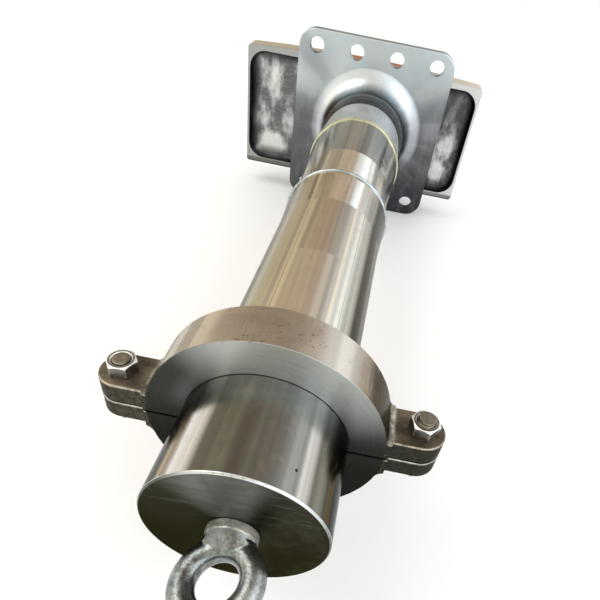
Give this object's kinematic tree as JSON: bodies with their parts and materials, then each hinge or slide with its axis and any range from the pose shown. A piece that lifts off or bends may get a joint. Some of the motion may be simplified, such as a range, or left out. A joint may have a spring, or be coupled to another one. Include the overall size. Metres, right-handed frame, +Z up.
{
  "type": "propeller shaft",
  "caption": "Turned propeller shaft with a split clamp collar and lifting eye at one end, and a flared flange plate with a pocketed crosshead block at the other.",
  "frame": {"origin": "on the shaft's axis, in the plane of the flange plate's back face, at the centre of its corner holes", "axes": "+Y along the shaft's axis towards the crosshead block, the eye bolt's end points along -Y, +Z up, square to the plate's hole rows, +X to the right seen from the eye bolt"},
  "size_m": [0.408, 0.9011, 0.283],
  "materials": {
    "turned_steel": "satin turned",
    "clamp_steel": "worn, oiled",
    "bolt_steel": "satin",
    "wire_steel": "bright",
    "brass": "satin",
    "pale_steel": "satin",
    "plate_steel": "satin",
    "block_steel": "machined",
    "zinc_steel": "zinc plated, rough forged"
  },
  "bodies": {
    "root": {"shaft": "turned_steel", "wire_ring": "wire_steel", "brass_ring": "brass", "rear_sleeve": "pale_steel", "flange_plate": "plate_steel", "crosshead_block": "block_steel", "clamp_upper_half": "clamp_steel", "clamp_lower_half": "clamp_steel", "clamp_bolt_left": "bolt_steel", "clamp_bolt_right": "bolt_steel", "clamp_nut_left": "bolt_steel", "clamp_nut_right": "bolt_steel", "eye_bolt": "zinc_steel"}
  },
  "joints": []
}
